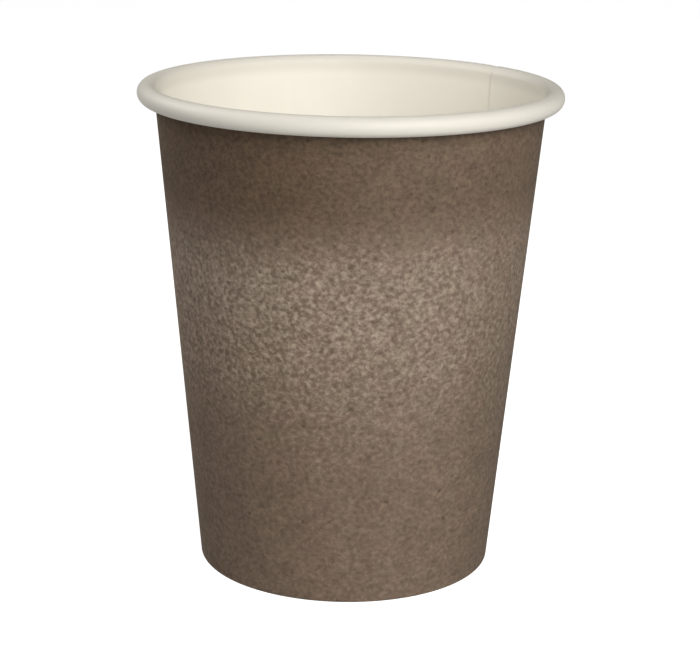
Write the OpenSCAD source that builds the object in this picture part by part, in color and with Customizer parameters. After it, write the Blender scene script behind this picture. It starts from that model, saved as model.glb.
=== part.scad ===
// Single-wall paper coffee cup: a conical sidewall rolled from one sheet of paperboard, and a
// drawn paper bottom that the foot of the sidewall is folded around.
// The sheet overlaps itself at one straight side seam. Its top edge rolls outward into a hollow
// bead, and its bottom edge folds inward and up, so that it grips the skirt of the bottom.
// Millimetres, +Z up, origin at the centre of the ring that the cup stands on.

/* [Cup] */
// Outer diameter of the rolled rim
rim_d = 80; // [72:0.5:92]
// Outer diameter of the sidewall where it meets the table
foot_d = 56.5; // [48:0.5:62]
// Height of the cup, rim included
cup_h = 93; // [76:1:120]

/* [Paper] */
// Thickness of the sidewall paper
wall_t = 0.4; // [0.3:0.05:0.5]
// Thickness of the bottom paper
bottom_t = 0.4; // [0.3:0.05:0.5]

/* [Rolled rim] */
// Diameter of the rolled bead, seen in section
bead_d = 3.6; // [3.4:0.1:4.4]
// Gap between the overlap's two layers and the paper that rolls past them inside the bead
bead_gap = 0.1; // [0.05:0.01:0.15]
// How far the roll goes on after its first full turn, in degrees
bead_tuck = 75; // [20:5:90]

/* [Side seam] */
// Where the sheet's inner edge lies, anticlockwise from +X, in degrees
seam_angle = 40; // [0:1:359]
// Part of the turn on which the sheet overlaps itself, in degrees
seam_span = 12; // [8:0.5:18]
// Part of the turn on which the outer layer climbs onto the inner one, in degrees
seam_climb = 5; // [3:0.5:8]
// How far the outer layer stands out where both are pressed together
seam_step = 0.22; // [0.15:0.01:0.28]

/* [Foot] */
// Height of the folded foot, inside the cup's base
fold_h = 6.5; // [5:0.5:8]
// How far the fold is pressed flat where the cup stands on it
foot_press = 0.08; // [0.04:0.01:0.15]
// Height of the cup's inside bottom above the table
floor_z = 8; // [8:0.25:11]
// Inside radius of the bend between the bottom and its skirt
skirt_bend = 0.6; // [0.3:0.1:1]
// Height of the skirt's cut edge above the start of the fold's bend
skirt_lift = 0.3; // [0.2:0.05:0.5]
// Room for the sealing film on each side of the skirt
seal_gap = 0.03; // [0.02:0.01:0.05]

/* [Hidden] */
$fn = 72;

// The sidewall's brown face starts at foot_d on the table and meets the rolled bead from inside.
foot_r = foot_d / 2;
bead_r = bead_d / 2;
bead_face_r = bead_r - wall_t;
rise = cup_h - bead_r;
spread = rim_d / 2 - bead_r - foot_r;
slope = atan2(spread, rise) - asin(bead_face_r / norm([spread, rise]));

// The section of the sheet is drawn with the wall upright: x is 0 on its brown face and grows
// outward, and y is the way up the wall from the table.
bead_y = spread * sin(slope) + rise * cos(slope);
tail_r = bead_r - wall_t - seam_step - bead_gap;
slot_w = bottom_t + 2 * seal_gap;
bend_x = wall_t + slot_w / 2;
bend_y = (bend_x * (1 - sin(slope)) - foot_press) / cos(slope);
fold_x = wall_t + slot_w;
fold_y = (fold_h - (fold_x + wall_t) * sin(slope)) / cos(slope);

// The bend of the bottom, and its skirt, which slopes as the wall does.
skirt_x = skirt_bend + bottom_t;
skirt_top_z = floor_z - skirt_x;
skirt_top_r = foot_r + (skirt_top_z * sin(slope) - wall_t - seal_gap) / cos(slope);
skirt_h = skirt_top_z - (bend_x - foot_press + skirt_lift);
skirt_run = skirt_h * tan(slope);

// The climb onto the overlap is drawn as narrow strips that step out by equal shares. Angles are
// kept to a hundredth of a degree, so that neighbouring strips meet exactly.
climb_strips = 4;
function hundredth(angle) = round(angle * 100) / 100;
function strip_start(i) = hundredth(seam_angle + seam_climb * (climb_strips - i) / climb_strips);

// Part of a flat ring, from one angle anticlockwise to another. The wedge that cuts it reaches
// equally far for every ring, so that neighbouring sections end on the same line.
module arc(r_in, r_out, from, to) {
    reach = rim_d;
    legs = ceil((to - from) / 60);
    intersection() {
        difference() {
            circle(r_out);
            circle(r_in);
        }
        polygon([
            [0, 0],
            for (i = [0:legs])
                let (a = from + (to - from) * i / legs)
                reach * [cos(a), sin(a)]
        ]);
    }
}

// Section of the sheet between two depths, measured from its white face towards the brown one.
module sheet(inner, outer) {
    // The wall
    polygon([
        [inner - wall_t, bend_y],
        [outer - wall_t, bend_y],
        [outer - wall_t, bead_y],
        [inner - wall_t, bead_y]
    ]);
    // The bead: over the top and down the outside, then tighter and up again inside itself
    translate([bead_face_r, bead_y]) {
        arc(bead_r - outer, bead_r - inner, -90, 180);
        translate([0, tail_r - bead_r])
            arc(tail_r - outer, tail_r - inner, 180 - bead_tuck, 270);
    }
    // The bend under the skirt
    translate([-bend_x, bend_y])
        arc(slot_w / 2 + inner, slot_w / 2 + outer, 180, 360);
    // The fold inside the skirt
    polygon([
        [-fold_x - outer, bend_y],
        [-fold_x - inner, bend_y],
        [-fold_x - inner, fold_y],
        [-fold_x - outer, fold_y]
    ]);
}

// Turns a section of the sheet from one angle to another, leaning as the wall does and cut flat
// where the cup stands.
module turn(from, to, inner, outer) {
    rotate_extrude(start = from, angle = to - from)
        intersection() {
            translate([foot_r, 0])
                rotate(-slope)
                    sheet(inner, outer);
            square([rim_d, 2 * cup_h]);
        }
}

module sidewall() {
    lap_start = hundredth(seam_angle - seam_span);
    color("#6f5d4a") {
        // One layer all round, apart from the seam
        turn(strip_start(0), lap_start + 360, 0, wall_t);
        // The overlap, two layers pressed together
        turn(lap_start, strip_start(climb_strips), 0, wall_t + seam_step);
        // The outer layer climbing onto the inner one
        for (i = [1:climb_strips])
            let (out = seam_step * i / (climb_strips + 1))
            turn(strip_start(i), strip_start(i - 1), out, out + wall_t);
    }
}

module bottom() {
    disc_r = skirt_top_r - skirt_x;
    color("#ece7dc")
        rotate_extrude() {
            // The disc
            translate([0, floor_z - bottom_t])
                square([disc_r, bottom_t]);
            translate([disc_r, skirt_top_z]) {
                // Its drawn edge
                arc(skirt_bend, skirt_x, 0, 90);
                // The skirt
                polygon([
                    [skirt_bend - skirt_run, -skirt_h],
                    [skirt_x - skirt_run, -skirt_h],
                    [skirt_x, 0],
                    [skirt_bend, 0]
                ]);
            }
        }
}

sidewall();
bottom();
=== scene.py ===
"""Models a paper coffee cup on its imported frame: a sidewall folded from one printed sheet of board,
and a drawn bottom that the foot of the sidewall is folded round."""

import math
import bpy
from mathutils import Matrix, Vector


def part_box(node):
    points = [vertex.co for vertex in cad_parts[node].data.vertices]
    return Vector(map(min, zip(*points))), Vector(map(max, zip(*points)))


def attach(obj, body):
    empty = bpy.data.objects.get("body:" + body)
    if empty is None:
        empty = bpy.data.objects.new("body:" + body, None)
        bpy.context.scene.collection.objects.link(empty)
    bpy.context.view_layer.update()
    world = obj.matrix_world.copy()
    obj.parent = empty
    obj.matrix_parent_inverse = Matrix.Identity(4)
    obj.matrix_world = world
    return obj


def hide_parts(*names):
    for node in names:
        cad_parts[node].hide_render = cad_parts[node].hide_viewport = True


bl_info = {
    "name": "Paper Coffee Cup",
    "version": (1, 0, 0),
    "blender": (4, 5, 0),
    "location": "View3D > Sidebar > Paper Cup",
    "description": "Single-wall paper cup with a lapped side seam, a rolled rim and a folded foot",
    "category": "Add Mesh",
}

import bmesh
import bpy
from mathutils import Matrix, Vector

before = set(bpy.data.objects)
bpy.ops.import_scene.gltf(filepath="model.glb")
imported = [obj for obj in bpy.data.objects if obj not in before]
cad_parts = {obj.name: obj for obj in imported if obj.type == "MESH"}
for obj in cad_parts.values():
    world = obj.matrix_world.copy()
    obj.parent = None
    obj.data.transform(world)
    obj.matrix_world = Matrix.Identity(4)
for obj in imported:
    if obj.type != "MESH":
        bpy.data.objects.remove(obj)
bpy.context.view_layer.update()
SIDEWALL_LOW, SIDEWALL_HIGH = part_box("sidewall")
BOTTOM_LOW, BOTTOM_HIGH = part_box("bottom")

MM = 0.001
COLUMN = math.radians(1)  # the sheet is spun in steps of this angle
NEAR = 0.002 * MM  # two places closer than this are the same
SMOOTH_BELOW = math.radians(35)  # faces that meet at less than this angle are shaded as one


def size_value(label, hint, default):
    """A length or a height, in metres."""
    return bpy.props.FloatProperty(
        name=label, description=hint, default=default, min=0, unit="LENGTH", precision=5
    )


def angle_value(label, hint, degrees):
    """An angle, whose default is given in degrees."""
    return bpy.props.FloatProperty(
        name=label, description=hint, default=math.radians(degrees), subtype="ANGLE", unit="ROTATION"
    )


def colour_value(label, hint, default):
    """A colour, as the share of red, green and blue light that it sends back."""
    return bpy.props.FloatVectorProperty(
        name=label, description=hint, default=default, size=3, min=0, max=1, subtype="COLOR"
    )


def number_value(label, hint, default, unit="NONE"):
    """Any other number."""
    return bpy.props.FloatProperty(name=label, description=hint, default=default, unit=unit)


class CupSizes(bpy.types.PropertyGroup):
    """Sizes of the folded sheet and of the bottom"""

    rim_d: size_value(
        "Rim", "Outer diameter of the rolled rim", round(SIDEWALL_HIGH.x - SIDEWALL_LOW.x, 4)
    )
    foot_d: size_value("Foot", "Outer diameter of the sidewall at the table", 56.5 * MM)
    height: size_value("Height", "Height of the cup, rim included", round(SIDEWALL_HIGH.z, 4))
    board: size_value("Board", "Thickness of the paperboard", 0.4 * MM)
    bead_d: size_value("Bead", "Diameter of the rolled bead, seen in section", 3.6 * MM)
    bead_gap: size_value("Bead gap", "Gap between the turns of the roll", 0.1 * MM)
    bead_tuck: angle_value("Bead tuck", "How far the roll goes on after its first full turn", 75)
    seam_angle: angle_value("Seam", "Where the sheet's inner edge lies", 40)
    seam_span: angle_value("Seam span", "Part of the turn on which the sheet overlaps itself", 12)
    seam_climb: angle_value("Seam climb", "Part of the turn on which the outer layer climbs", 5)
    seam_step: size_value("Seam step", "How far the pressed outer layer stands out", 0.22 * MM)
    edge_board: size_value("Seam's edge", "Thickness that the inner layer's edge is pressed to", 0.15 * MM)
    edge_span: angle_value("Edge span", "Part of the turn on which the inner layer thins to its edge", 2)
    fold_h: size_value("Fold height", "Height of the folded foot", 6.5 * MM)
    foot_press: size_value("Foot press", "How far the fold is pressed flat on the table", 0.08 * MM)
    floor_z: size_value("Inside bottom", "Height of the inside bottom", round(BOTTOM_HIGH.z, 4))
    skirt_low: size_value("Skirt's edge", "Height of the skirt's cut edge", round(BOTTOM_LOW.z, 5))
    skirt_bend: size_value("Skirt bend", "Inside radius of the bend above the skirt", 0.6 * MM)
    seal_gap: size_value("Seal gap", "Room for the sealing film on each side of the skirt", 0.03 * MM)
    dish: size_value("Dish", "How far the middle of the bottom sags", 0.15 * MM)
    knurl_depth: size_value("Knurl depth", "Depth of the grooves pressed into the fold", 0.2 * MM)


class BoardColours(bpy.types.PropertyGroup):
    """Colours of the printed and of the coated side of the board"""

    brown: colour_value("Brown", "Plain print below the mottled band", (0.204, 0.146, 0.106))
    brown_top: colour_value("Top brown", "Plain print above the mottled band", (0.145, 0.1, 0.068))
    pale: colour_value("Pale", "Palest flecks of the mottled band", (0.54, 0.44, 0.345))
    pale_low: colour_value("Dull pale", "Dullest flecks of the mottled band", (0.41, 0.325, 0.247))
    white: colour_value("White", "Coated side of the board", (0.95, 0.906, 0.80))
    core: colour_value("Core", "Cut edge of the board", (0.84, 0.79, 0.69))
    band_top: size_value("Band's top", "Height at which the mottled band starts", 77.5 * MM)
    band_low: size_value("Band's foot", "Height at which the mottled band has faded out", 12 * MM)


class StageLook(bpy.types.PropertyGroup):
    """Camera, floor and lights"""

    camera_back: size_value("Camera distance", "How far the camera stands in front of the cup", 0.37721)
    camera_up: size_value("Camera height", "Height of the camera above the table", 0.15014)
    camera_tilt: angle_value("Tilt", "How far the camera looks down", 15.5386)
    camera_pan: angle_value("Pan", "How far the camera turns right", 0.0831)
    camera_roll: angle_value("Roll", "How far the camera leans", 0.9471)
    lens: number_value("Lens", "Focal length on a frame 36 mm wide", 103.975, unit="CAMERA")
    floor: colour_value("Floor", "Colour of the floor", (0.5, 0.5, 0.5))
    floor_glow: number_value("Floor's glow", "How much the floor shines by itself", 0.95)
    table_light: number_value("Table light", "Light that comes back up from below", 0.42)
    key: number_value("Key", "Strength of the high lamp at the front right", 6.6, unit="POWER")
    front: number_value("Front", "Strength of the lower lamp at the front", 3.1, unit="POWER")
    fill: number_value("Fill", "Strength of the near lamp at the back left", 1.1, unit="POWER")


class Section:
    """The sheet's section, drawn with the wall upright: x is 0 on the brown face and grows outward,
    y is the way up the wall, and the line follows the white face."""

    def __init__(self, sizes):
        self.foot_r = sizes.foot_d / 2
        self.bead_r = sizes.bead_d / 2
        self.bead_x = self.bead_r - sizes.board
        rise = sizes.height - self.bead_r
        spread = sizes.rim_d / 2 - self.bead_r - self.foot_r
        self.slope = math.atan2(spread, rise) - math.asin(self.bead_x / math.hypot(spread, rise))
        self.bead_y = spread * math.sin(self.slope) + rise * math.cos(self.slope)
        self.tail_r = self.bead_x - sizes.seam_step - sizes.bead_gap
        slot = sizes.board + 2 * sizes.seal_gap
        bend_r = sizes.board + slot / 2
        self.wall_x = -sizes.board
        self.bend_x = -bend_r
        self.bend_y = (bend_r * (1 - math.sin(self.slope)) - sizes.foot_press) / math.cos(self.slope)
        self.fold_x = -sizes.board - slot
        lean = (self.fold_x - sizes.board) * math.sin(self.slope)
        self.fold_y = (sizes.fold_h + lean) / math.cos(self.slope)

    def spot(self, x, y, angle):
        """Where a point of the section lies on the cup, at an angle about its axis."""
        out = self.foot_r + x * math.cos(self.slope) + y * math.sin(self.slope)
        up = y * math.cos(self.slope) - x * math.sin(self.slope)
        return Vector((out * math.cos(angle), out * math.sin(angle), up))

    def read(self, place):
        """The section's x and y of a point on the cup."""
        out = math.hypot(place.x, place.y) - self.foot_r
        x = out * math.cos(self.slope) - place.z * math.sin(self.slope)
        y = out * math.sin(self.slope) + place.z * math.cos(self.slope)
        return x, y

    def at(self, x, y):
        """A test that is true for points at one place of the section."""
        def test(place):
            found = self.read(place)
            return math.hypot(found[0] - x, found[1] - y) < NEAR
        return test


def turned(place, angle):
    """How far a point lies from an angle about the cup's axis, from -pi to pi."""
    return math.remainder(math.atan2(place.y, place.x) - angle, 2 * math.pi)


def pick(test):
    """Selects the vertices in edit mode whose place passes a test, and the edges between them."""
    bpy.ops.mesh.select_all(action="DESELECT")
    mesh = bpy.context.edit_object.data
    shape = bmesh.from_edit_mesh(mesh)
    for vert in shape.verts:
        vert.select = test(vert.co)
    shape.select_flush_mode()
    bmesh.update_edit_mesh(mesh, loop_triangles=False, destructive=False)


def extrude(step):
    """Extrudes what is selected, and moves the new end by a step."""
    bpy.ops.mesh.extrude_region_move(TRANSFORM_OT_translate={"value": step})


def start_edit(name):
    """Names the new primitive, puts its place into its mesh and opens it for editing."""
    piece = bpy.context.object
    piece.name = name
    piece.data.name = name
    bpy.ops.object.transform_apply(location=True, rotation=True, scale=True)
    bpy.ops.object.mode_set(mode="EDIT")
    bpy.ops.mesh.select_mode(type="VERT")
    return piece


def thicken(piece, board, materials, group="", thinnest=1.0):
    """Gives a sheet its thickness, away from the side that its faces point to, and less of it where
    the group weighs more. The materials are for that side, for the far side where it has its own,
    and for the cut edge."""
    for material in materials:
        piece.data.materials.append(material)
    wall = piece.modifiers.new("board", "SOLIDIFY")
    wall.thickness = board
    wall.offset = -1
    wall.use_even_offset = True
    wall.use_quality_normals = True
    wall.material_offset = len(materials) - 2
    wall.material_offset_rim = len(materials) - 1
    wall.vertex_group = group
    wall.invert_vertex_group = bool(group)
    wall.thickness_vertex_group = thinnest
    bpy.ops.object.modifier_apply(modifier=wall.name)


def draw_section(section, sizes, angle):
    """Draws the white face's line from the end of the roll to the end of the fold."""
    round_points = 48
    bend_steps = 12
    wall_cuts = 23
    fold_cuts = 7
    across = Vector((-math.sin(angle), math.cos(angle), 0))
    bpy.ops.object.select_all(action="DESELECT")
    bpy.ops.mesh.primitive_circle_add(
        vertices=round_points,
        radius=section.bead_r,
        location=section.spot(section.bead_x, section.bead_y, angle),
        rotation=(math.pi / 2, section.slope, angle),
    )
    piece = start_edit("sidewall_sheet")

    def open_quarter(place):
        x, y = section.read(place)
        return x < section.bead_x - NEAR and y < section.bead_y - NEAR

    pick(open_quarter)
    bpy.ops.mesh.delete(type="VERT")
    # The wall, from the bead to the bend at the foot
    pick(section.at(section.wall_x, section.bead_y))
    extrude(section.spot(0, section.bend_y, angle) - section.spot(0, section.bead_y, angle))
    # The bend, and the fold up behind it
    pick(section.at(section.wall_x, section.bend_y))
    bpy.ops.mesh.spin(
        steps=bend_steps,
        angle=-math.pi,
        center=section.spot(section.bend_x, section.bend_y, angle),
        axis=across,
    )
    pick(section.at(section.fold_x, section.bend_y))
    extrude(section.spot(0, section.fold_y, angle) - section.spot(0, section.bend_y, angle))
    # The end of the roll, tighter than the bead and inside it
    pick(section.at(section.bead_x, section.bead_y - section.bead_r))
    tail_turn = math.pi / 2 + sizes.bead_tuck
    bpy.ops.mesh.spin(
        steps=round(tail_turn / (2 * math.pi) * round_points),
        angle=-tail_turn,
        center=section.spot(section.bead_x, section.bead_y - section.bead_r + section.tail_r, angle),
        axis=across,
    )
    # More points up the wall and up the fold
    for x, low, high, cuts in (
        (section.wall_x, section.bend_y, section.bead_y, wall_cuts),
        (section.fold_x, section.bend_y, section.fold_y, fold_cuts),
    ):
        ends = [section.at(x, low), section.at(x, high)]
        pick(lambda place: any(end(place) for end in ends))
        bpy.ops.mesh.subdivide(number_cuts=cuts)
    return piece


def white_side_out(section):
    """Turns the faces to the white side, which on the wall looks at the cup's axis."""
    bpy.ops.mesh.select_all(action="SELECT")
    bpy.ops.mesh.remove_doubles(threshold=NEAR)
    bpy.ops.mesh.normals_make_consistent(inside=False)
    shape = bmesh.from_edit_mesh(bpy.context.edit_object.data)
    middle = section.bead_y / 2
    wall = next(
        face for face in shape.faces
        if all(
            abs(section.read(corner.co)[0] - section.wall_x) < NEAR
            and abs(section.read(corner.co)[1] - middle) < middle / 2
            for corner in face.verts
        )
    )
    out = wall.calc_center_median()
    if wall.normal.x * out.x + wall.normal.y * out.y > 0:
        bpy.ops.mesh.flip_normals()


def lap_the_sheet(piece, section, sizes, materials):
    """Spins the section round, lifts the outer layer of the seam and adds the inner layer. Both are
    pressed thinner where they lie on each other, and the inner one runs out to a thin edge."""
    lap_start = sizes.seam_angle - sizes.seam_span
    lap_board = (sizes.board + sizes.seam_step) / 2
    climb_columns = round(sizes.seam_climb / COLUMN)
    edge_columns = round(sizes.edge_span / COLUMN)

    def pressed(column, board):
        """A layer's thickness some columns past the inner edge: the lap's, or its own at the edge."""
        return board + (lap_board - board) * min(1, max(0, -column / edge_columns))

    def lift(column):
        """How far the outer layer stands off the white face, some columns past the inner edge."""
        return (pressed(column, sizes.edge_board) + NEAR) * min(1, 1 - column / climb_columns)

    def thin(board):
        """Notes the thickness of the selected vertices in the piece's vertex group."""
        share = (sizes.board - board) / (sizes.board - sizes.edge_board)
        bpy.context.tool_settings.vertex_group_weight = share
        bpy.ops.object.vertex_group_assign()

    group = piece.vertex_groups.new(name="pressed")
    turn_columns = round(2 * math.pi / COLUMN) - 1
    bpy.ops.mesh.select_all(action="SELECT")
    bpy.ops.mesh.spin(steps=turn_columns, angle=-turn_columns * COLUMN, center=(0, 0, 0), axis=(0, 0, 1))
    white_side_out(section)
    # The outer layer, which comes down to the single sheet past the inner one's edge
    for column in range(climb_columns - 1, -edge_columns - 1, -1):
        end = sizes.seam_span + (column + 0.5) * COLUMN
        pick(lambda place: -COLUMN / 2 < turned(place, lap_start) < end)
        bpy.ops.transform.shrink_fatten(value=lift(column + 1) - lift(column))
        thin(pressed(column, sizes.board))
    # The inner layer, a column at a time, on from the last one
    last = lap_start - COLUMN
    pick(lambda place: abs(turned(place, last)) < COLUMN / 2)
    thin(lap_board)
    for column in range(-round(sizes.seam_span / COLUMN), 1):
        bpy.ops.mesh.spin(steps=1, angle=-COLUMN, center=(0, 0, 0), axis=(0, 0, 1))
        thin(pressed(column, sizes.edge_board))
    white_side_out(section)
    bpy.ops.object.mode_set(mode="OBJECT")
    thicken(piece, sizes.board, materials, group.name, sizes.edge_board / sizes.board)


def press_the_foot(section, sizes):
    """Presses the fold flat on the table and its brown side into upright grooves."""
    groove_pitch = 4  # columns from one groove to the next
    groove_low = 0.2 * section.fold_y
    groove_high = 0.9 * section.fold_y
    brown_x = section.fold_x - 0.9 * sizes.board  # only the fold's brown side lies past this
    bpy.ops.object.mode_set(mode="EDIT")
    pick(lambda place: place.z < 0)
    bpy.ops.transform.resize(value=(1, 1, 0), center_override=(0, 0, 0))

    def in_groove(place):
        x, y = section.read(place)
        column = round(math.atan2(place.y, place.x) / COLUMN)
        return x < brown_x and groove_low < y < groove_high and column % groove_pitch == 0

    pick(in_groove)
    bpy.ops.transform.shrink_fatten(value=-sizes.knurl_depth)
    bpy.ops.object.mode_set(mode="OBJECT")


def bottom_outline(section, sizes):
    """Radius and height of the rings from the disc's edge, round the bend, to the skirt's cut edge."""
    bend_steps = 8
    bend_r = sizes.skirt_bend + sizes.board
    bend_z = sizes.floor_z - bend_r
    lean = math.tan(section.slope)
    skirt_r = section.foot_r + bend_z * lean - (sizes.board + sizes.seal_gap) / math.cos(section.slope)
    outline = []
    for i in range(bend_steps + 1):
        turn = math.pi / 2 * i / bend_steps
        outline.append((skirt_r - bend_r + bend_r * math.sin(turn), bend_z + bend_r * math.cos(turn)))
    outline.append((skirt_r - (bend_z - sizes.skirt_low) * lean, sizes.skirt_low))
    return outline


def draw_disc(disc_r, sizes):
    """Draws the bottom's disc in rings, each a little lower than the last. Their drops shrink towards
    the middle and add up to the dish."""
    rings = 6
    bpy.ops.object.select_all(action="DESELECT")
    bpy.ops.mesh.primitive_circle_add(
        vertices=180, radius=disc_r, fill_type="NGON", location=(0, 0, sizes.floor_z)
    )
    piece = start_edit("bottom_disc")
    for ring in range(rings, 0, -1):
        bpy.ops.mesh.inset(thickness=disc_r / (rings + 1))
        bpy.ops.transform.translate(value=(0, 0, -sizes.dish * (2 * ring - 1) / rings**2))
    bpy.ops.mesh.poke()
    return piece


def draw_skirt(outline):
    """Extrudes the disc's edge round the bend and down to the skirt's cut edge, and turns the faces
    up and outward."""
    (ring_r, ring_z), *rings = outline
    edge = ring_r - NEAR
    pick(lambda place: math.hypot(place.x, place.y) > edge)
    for next_r, next_z in rings:
        extrude((0, 0, next_z - ring_z))
        share = next_r / ring_r
        bpy.ops.transform.resize(value=(share, share, 1), center_override=(0, 0, next_z))
        ring_r, ring_z = next_r, next_z
    bpy.ops.mesh.select_all(action="SELECT")
    bpy.ops.mesh.normals_make_consistent(inside=False)
    bpy.ops.object.mode_set(mode="OBJECT")


class Wire:
    """A number on its way through a material, with its arithmetic as Math nodes."""

    def __init__(self, recipe, socket):
        self.recipe = recipe
        self.socket = socket

    def math(self, operation, *others):
        """A Math node on this number and others."""
        return self.recipe.add("ShaderNodeMath", dict(enumerate((self, *others))), operation=operation)

    def __add__(self, other):
        return self.math("ADD", other)

    __radd__ = __add__

    def __sub__(self, other):
        return self.math("SUBTRACT", other)

    def __rsub__(self, other):
        return self.math("MULTIPLY_ADD", -1, other)

    def __mul__(self, other):
        return self.math("MULTIPLY", other)

    __rmul__ = __mul__


class Recipe:
    """The node tree of one material, or of the surround."""

    def __init__(self, owner):
        self.owner = owner
        owner.use_nodes = True
        self.tree = owner.node_tree
        self.tree.nodes.clear()

    def add(self, kind, inputs, out=0, **settings):
        """Adds a node: its settings first, then the values or links of its sockets."""
        node = self.tree.nodes.new(kind)
        for name, value in settings.items():
            setattr(node, name, value)
        for name, value in inputs.items():
            if isinstance(value, Wire):
                self.tree.links.new(value.socket, node.inputs[name])
            else:
                node.inputs[name].default_value = value
        return Wire(self, node.outputs[out])

    def place(self):
        """Where a point lies on the cup."""
        return self.add("ShaderNodeTexCoord", {}, out="Object")

    def split(self, place):
        """The three coordinates of a place."""
        node = self.add("ShaderNodeSeparateXYZ", {"Vector": place}).socket.node
        return [Wire(self, socket) for socket in node.outputs]

    def join(self, x, y, z):
        """A place from its three coordinates."""
        return self.add("ShaderNodeCombineXYZ", {"X": x, "Y": y, "Z": z})

    def noise(self, place, grain, detail=2.0, roughness=0.5, distortion=0.0):
        """Noise whose lumps are about one grain across, in metres."""
        return self.add("ShaderNodeTexNoise", {
            "Vector": place, "Scale": 1 / grain, "Detail": detail, "Roughness": roughness,
            "Distortion": distortion,
        })

    def fade(self, value, low, high, first=0.0, last=1.0):
        """A smooth step from first to last as a value goes from low to high."""
        return self.add("ShaderNodeMapRange", {
            "Value": value, "From Min": low, "From Max": high, "To Min": first, "To Max": last,
        }, interpolation_type="SMOOTHSTEP")

    def mix(self, factor, first, second, kind="MIX"):
        """Mixes two colours. The node's sockets for colours are known by their numbers, because those
        for other values have the same names."""
        inputs = {0: factor}
        for socket, colour in ((6, first), (7, second)):
            inputs[socket] = colour if isinstance(colour, Wire) else (*colour, 1)
        return self.add("ShaderNodeMix", inputs, out=2, data_type="RGBA", blend_type=kind)

    def tint(self, factor, colour, shade):
        """Multiplies a colour by a shade, wholly where the factor is 1 and not at all where it is 0."""
        return self.mix(factor, colour, shade, kind="MULTIPLY")

    def bump(self, height, depth):
        """A relief of a height map, with its depth in metres."""
        return self.add("ShaderNodeBump", {"Height": height, "Distance": depth})

    def surface(self, **sockets):
        """Ends the material in a Principled shader."""
        inputs = {name.replace("_", " "): value for name, value in sockets.items()}
        return self.end(self.add("ShaderNodeBsdfPrincipled", inputs), "ShaderNodeOutputMaterial")

    def end(self, shader, kind):
        """Links a shader to the tree's end, and returns the material or surround."""
        last = self.tree.nodes.new(kind)
        self.tree.links.new(shader.socket, last.inputs["Surface"])
        return self.owner


def about_one(noise, contrast):
    """A shade that varies about 1 as a noise varies about a half."""
    return 1 + contrast * (noise - 0.5)


def print_grain(recipe, place, cut_angle):
    """The coordinates that the print's grain lies in. The grain lies a little wider than high, and
    breaks at the sheet's outer edge instead of running across the seam."""
    squash = 1.15
    shift = 1.1 * MM  # for each radian round the cup from the outer edge
    from_edge = recipe.add(
        "ShaderNodeMapping", {"Vector": place, "Rotation": (0, 0, math.pi - cut_angle)}
    )
    x, y, height = recipe.split(from_edge)
    return recipe.join(x, y, height * squash + y.math("ARCTAN2", x) * shift)


def band_strength(recipe, colours, height, right, lump, cloud):
    """How strongly the mottling is printed. It is strongest a little below the band's top, which is
    ragged and higher on the right, and fades out unevenly towards the foot."""
    top_fade = 22 * MM
    foot_fade_end = colours.band_top - 12 * MM
    right_rise = 2 * MM
    ragged = 7 * MM
    clouded = 18 * MM
    edge = height - right * right_rise + (lump - 0.5) * ragged
    top = recipe.fade(edge, colours.band_top - top_fade, colours.band_top, 1, 0)
    foot = recipe.fade(height + (cloud - 0.5) * clouded, colours.band_low, foot_fade_end)
    return top * foot


def plain_print(recipe, colours, height, right, fibre, lump):
    """The print without its flecks: darker above the band, with fibres and soft lumps all over, and near
    the top painted shade on the left and painted light on the right."""
    darkening = 12 * MM
    # painted shade for the left and painted light for the right, near the top
    left_shade_tint = (0.86, 0.82, 0.76)
    right_light_tint = (1.13, 1.14, 1.14)
    above = recipe.fade(height, colours.band_top - darkening, colours.band_top)
    plain = recipe.mix(above, colours.brown, colours.brown_top)
    plain = recipe.tint(1, plain, about_one(fibre, contrast=1.6) * about_one(lump, contrast=0.4))
    # Painted shade on the left and painted light on the right, near the top of the cup
    near_top = recipe.fade(height, 60 * MM, 80 * MM)
    return recipe.tint(near_top, plain, recipe.mix(right, left_shade_tint, right_light_tint))


def pale_flecks(recipe, across, right, band, fleck):
    """How much of the pale flecks shows. They are closer together where the band is strong, and
    fainter on the right; their fading at both flanks is painted shade."""
    left_share = 1.12
    right_share = 0.76
    flank_shade_share = 0.7
    # Painted shade: fewer pale flecks towards both flanks
    flank_shade = recipe.fade(across.math("ABSOLUTE"), 15 * MM, 28 * MM, 1, flank_shade_share)
    strength = recipe.fade(band, 0, 0.8) * (left_share + (right_share - left_share) * right) * flank_shade
    return recipe.fade(fleck + band * 0.1, 0.39, 0.91) * strength


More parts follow.
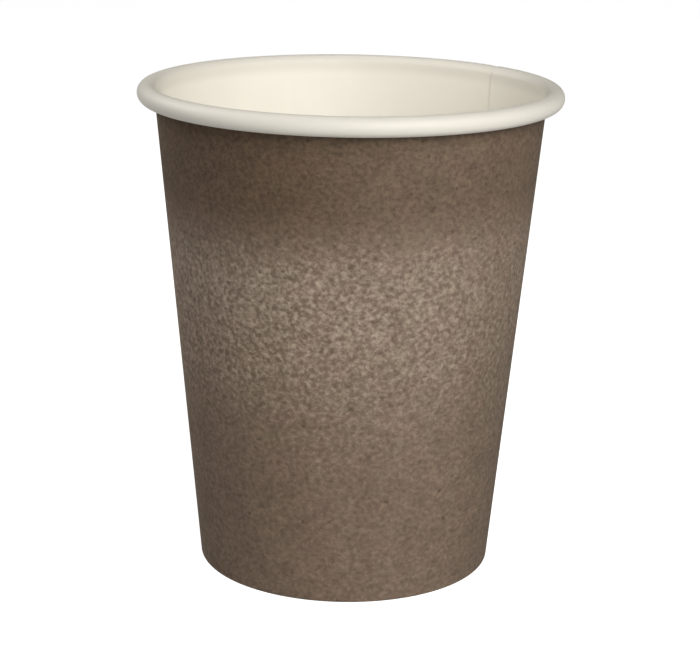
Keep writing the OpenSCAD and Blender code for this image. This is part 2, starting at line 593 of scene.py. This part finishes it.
def brown_print(colours, cut_angle):
    """Printed side: dark brown above, a band mottled with pale flecks, and plain brown below, with painted
    shade and painted light on its sides.
    """
    olive_tint = (0.98, 1.0, 0.97)
    rose_tint = (1.0, 0.98, 0.98)
    warm_tint = (0.96, 0.935, 0.905)
    # painted shade for the far right, low on the cup
    right_shade_tint = (0.92, 0.92, 0.9)
    speck_tint = (0.7, 0.68, 0.66)
    recipe = Recipe(bpy.data.materials.new("brown_print"))
    place = recipe.place()
    across, _, height = recipe.split(place)
    right = recipe.fade(across, -20 * MM, 20 * MM)
    grain = print_grain(recipe, place, cut_angle)
    fleck = recipe.noise(grain, MM, detail=2.8, roughness=0.6, distortion=0.15)
    fibre = recipe.noise(grain, 0.9 * MM, detail=3, roughness=0.65)
    lump = recipe.noise(grain, 4 * MM)
    cloud = recipe.noise(grain, 20 * MM)
    band = band_strength(recipe, colours, height, right, lump, cloud)
    flecks = pale_flecks(recipe, across, right, band, fleck)
    fleck_colour = recipe.mix(recipe.fade(fibre, 0.35, 0.65), colours.pale_low, colours.pale)
    plain = plain_print(recipe, colours, height, right, fibre, lump)
    colour = recipe.mix(flecks, plain, fleck_colour)
    # Patches that lean towards olive or towards rose
    patch = recipe.fade(recipe.noise(grain, 5 * MM, detail=1), 0.3, 0.7)
    colour = recipe.tint(1, colour, recipe.mix(patch, olive_tint, rose_tint))
    # Low on the cup the print is warmer on the left, and painted shade darkens the far right
    low = recipe.fade(height, 48 * MM, 62 * MM, 1, 0)
    colour = recipe.tint(low * (1 - right), colour, warm_tint)
    colour = recipe.tint(low * recipe.fade(across, 14 * MM, 26 * MM), colour, right_shade_tint)
    # Rare dark specks
    speck = recipe.fade(recipe.noise(grain, 1.5 * MM, detail=0), 0.79, 0.84)
    colour = recipe.tint(speck, colour, speck_tint)
    relief = recipe.bump(fibre + flecks * 0.5, 0.015 * MM)
    return recipe.surface(Base_Color=colour, Roughness=0.8, Specular_IOR_Level=0.25, Normal=relief)


def white_board(colours):
    """Coated white side: a warm, faintly cloudy white with a satin film over the fibres, and darker
    where the board is rolled into the rim, which is painted shade."""
    rim_shade_tint = (0.9, 0.895, 0.89)
    recipe = Recipe(bpy.data.materials.new("white_board"))
    place = recipe.place()
    cloud = recipe.noise(place, 6 * MM, detail=3)
    fibre = recipe.noise(place, 0.7 * MM, detail=3)
    shade = recipe.mix(cloud, [c * 0.97 for c in colours.white], colours.white)
    _, _, height = recipe.split(place)
    # Painted shade: the rolled rim is made darker
    rim = recipe.fade(height, SIDEWALL_HIGH.z - 4 * MM, SIDEWALL_HIGH.z - 2 * MM)
    shade = recipe.tint(rim, shade, rim_shade_tint)
    return recipe.surface(Base_Color=shade, Roughness=0.55, Normal=recipe.bump(fibre, 0.01 * MM))


def cut_edge(colours):
    """Cut edge of the board: its pale uncoated core."""
    recipe = Recipe(bpy.data.materials.new("cut_edge"))
    fibre = recipe.noise(recipe.place(), 0.15 * MM, detail=3)
    shade = recipe.mix(fibre, [c * 0.8 for c in colours.core], colours.core)
    return recipe.surface(Base_Color=shade, Roughness=0.9, Normal=recipe.bump(fibre, 0.02 * MM))


class CUP_OT_sidewall(bpy.types.Operator):
    """Roll the sheet into the cup's sidewall, with its lapped seam, rolled rim and folded foot"""

    bl_idname = "cup.sidewall"
    bl_label = "Sidewall"
    bl_options = {"REGISTER", "UNDO"}

    def execute(self, context):
        sizes = context.scene.cup_sizes
        colours = context.scene.board_colours
        section = Section(sizes)
        cut_angle = sizes.seam_angle - sizes.seam_span
        piece = draw_section(section, sizes, cut_angle)
        materials = (white_board(colours), brown_print(colours, cut_angle), cut_edge(colours))
        lap_the_sheet(piece, section, sizes, materials)
        press_the_foot(section, sizes)
        bpy.ops.object.shade_smooth_by_angle(angle=SMOOTH_BELOW)
        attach(piece, "root")
        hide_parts("sidewall")
        return {"FINISHED"}


class CUP_OT_bottom(bpy.types.Operator):
    """Draw the bottom disc, with the skirt that the foot is folded around"""

    bl_idname = "cup.bottom"
    bl_label = "Bottom"
    bl_options = {"REGISTER", "UNDO"}

    def execute(self, context):
        sizes = context.scene.cup_sizes
        outline = bottom_outline(Section(sizes), sizes)
        disc_r, _ = outline[0]
        piece = draw_disc(disc_r, sizes)
        draw_skirt(outline)
        thicken(piece, sizes.board, [bpy.data.materials[name] for name in ("white_board", "cut_edge")])
        bpy.ops.object.shade_smooth_by_angle(angle=SMOOTH_BELOW)
        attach(piece, "root")
        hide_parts("bottom")
        return {"FINISHED"}


def add_camera(scene, look):
    """A camera in front of the cup, which looks down on it."""
    camera = bpy.data.objects.new("camera", bpy.data.cameras.new("camera"))
    scene.collection.objects.link(camera)
    scene.camera = camera
    camera.data.lens = look.lens
    camera.data.sensor_fit = "HORIZONTAL"
    camera.data.sensor_width = 36
    camera.data.clip_start = 0.01
    camera.location = (0, -look.camera_back, look.camera_up)
    facing = (
        Matrix.Rotation(-look.camera_pan, 3, "Z")
        @ Matrix.Rotation(math.pi / 2 - look.camera_tilt, 3, "X")
        @ Matrix.Rotation(look.camera_roll, 3, "Z")
    )
    camera.rotation_euler = facing.to_euler()


def stage_material(name, shade, glow):
    """A plain material that shines by itself, as a light table does."""
    recipe = Recipe(bpy.data.materials.new(name))
    return recipe.surface(
        Base_Color=(*shade, 1),
        Roughness=0.7,
        Specular_IOR_Level=0.0,
        Emission_Color=(1, 1, 1, 1),
        Emission_Strength=glow,
    )


def keep_off_the_cup(stage):
    """Lets a piece of the stage neither light the cup nor show in its gloss."""
    stage.visible_diffuse = False
    stage.visible_glossy = False


def add_floor_and_dome(look):
    """A pale floor, and a white dome that meets it far behind the cup."""
    floor_r = 6
    dome_r = 5.9
    bpy.ops.object.select_all(action="DESELECT")
    bpy.ops.mesh.primitive_circle_add(vertices=96, radius=floor_r, fill_type="NGON")
    floor = bpy.context.object
    floor.name = "floor"
    floor.data.materials.append(stage_material("floor", look.floor, look.floor_glow))
    keep_off_the_cup(floor)
    bpy.ops.object.select_all(action="DESELECT")
    bpy.ops.mesh.primitive_uv_sphere_add(segments=48, ring_count=24, radius=dome_r)
    dome = bpy.context.object
    dome.name = "dome"
    dome.data.materials.append(stage_material("dome", (0, 0, 0), 1.0))
    keep_off_the_cup(dome)
    dome.visible_shadow = False


def add_surround(scene, look):
    """The light that a pale table sends back up to the cup, from below the horizon only."""
    recipe = Recipe(bpy.data.worlds.new("surround"))
    direction = recipe.add("ShaderNodeTexCoord", {})
    _, _, height = recipe.split(direction)
    strength = height.math("LESS_THAN", 0) * look.table_light
    light = recipe.add("ShaderNodeBackground", {"Color": (1, 1, 1, 1), "Strength": strength})
    scene.world = recipe.end(light, "ShaderNodeOutputWorld")


def soft_light(name, side, rise, distance, strength):
    """A large soft lamp that points at the cup. Its side is the angle round the cup from the right,
    and its rise the angle above the table, both in degrees."""
    side = math.radians(side)
    rise = math.radians(rise)
    lamp = bpy.data.lights.new(name, "AREA")
    lamp.shape = "DISK"
    lamp.size = 0.6 * distance
    lamp.energy = strength
    holder = bpy.data.objects.new(name, lamp)
    bpy.context.scene.collection.objects.link(holder)
    middle = Vector((0, 0, SIDEWALL_HIGH.z / 2))
    away = Vector((math.cos(rise) * math.cos(side), math.cos(rise) * math.sin(side), math.sin(rise)))
    holder.location = middle + distance * away
    holder.rotation_euler = away.to_track_quat("Z", "Y").to_euler()
    holder.visible_camera = False


class CUP_OT_stage(bpy.types.Operator):
    """Set up the camera, the pale floor and the soft lights"""

    bl_idname = "cup.stage"
    bl_label = "Stage"
    bl_options = {"REGISTER", "UNDO"}

    def execute(self, context):
        scene = context.scene
        look = scene.stage_look
        add_camera(scene, look)
        add_floor_and_dome(look)
        add_surround(scene, look)
        soft_light("key", side=-60, rise=35, distance=1.0, strength=look.key)
        soft_light("front", side=-75, rise=20, distance=1.0, strength=look.front)
        soft_light("fill", side=160, rise=35, distance=0.5, strength=look.fill)
        scene.view_settings.view_transform = "Standard"
        scene.view_settings.look = "None"
        return {"FINISHED"}


class CUP_PT_panel(bpy.types.Panel):
    """Lists the cup's pieces and sizes in the sidebar"""

    bl_idname = "CUP_PT_panel"
    bl_label = "Paper Coffee Cup"
    bl_space_type = "VIEW_3D"
    bl_region_type = "UI"
    bl_category = "Paper Cup"

    def draw(self, context):
        layout = self.layout
        for step in STEPS:
            layout.operator(step.bl_idname)
        for group in (context.scene.cup_sizes, context.scene.board_colours, context.scene.stage_look):
            box = layout.box()
            for name in group.__annotations__:
                box.prop(group, name)


STEPS = (CUP_OT_sidewall, CUP_OT_bottom, CUP_OT_stage)
CLASSES = (CupSizes, BoardColours, StageLook, *STEPS, CUP_PT_panel)


def register():
    for made in CLASSES:
        bpy.utils.register_class(made)
    bpy.types.Scene.cup_sizes = bpy.props.PointerProperty(type=CupSizes)
    bpy.types.Scene.board_colours = bpy.props.PointerProperty(type=BoardColours)
    bpy.types.Scene.stage_look = bpy.props.PointerProperty(type=StageLook)


def unregister():
    del bpy.types.Scene.stage_look
    del bpy.types.Scene.board_colours
    del bpy.types.Scene.cup_sizes
    for made in reversed(CLASSES):
        bpy.utils.unregister_class(made)


def main():
    register()
    bpy.ops.cup.sidewall()
    bpy.ops.cup.bottom()
    bpy.ops.cup.stage()


if __name__ == "__main__":
    main()
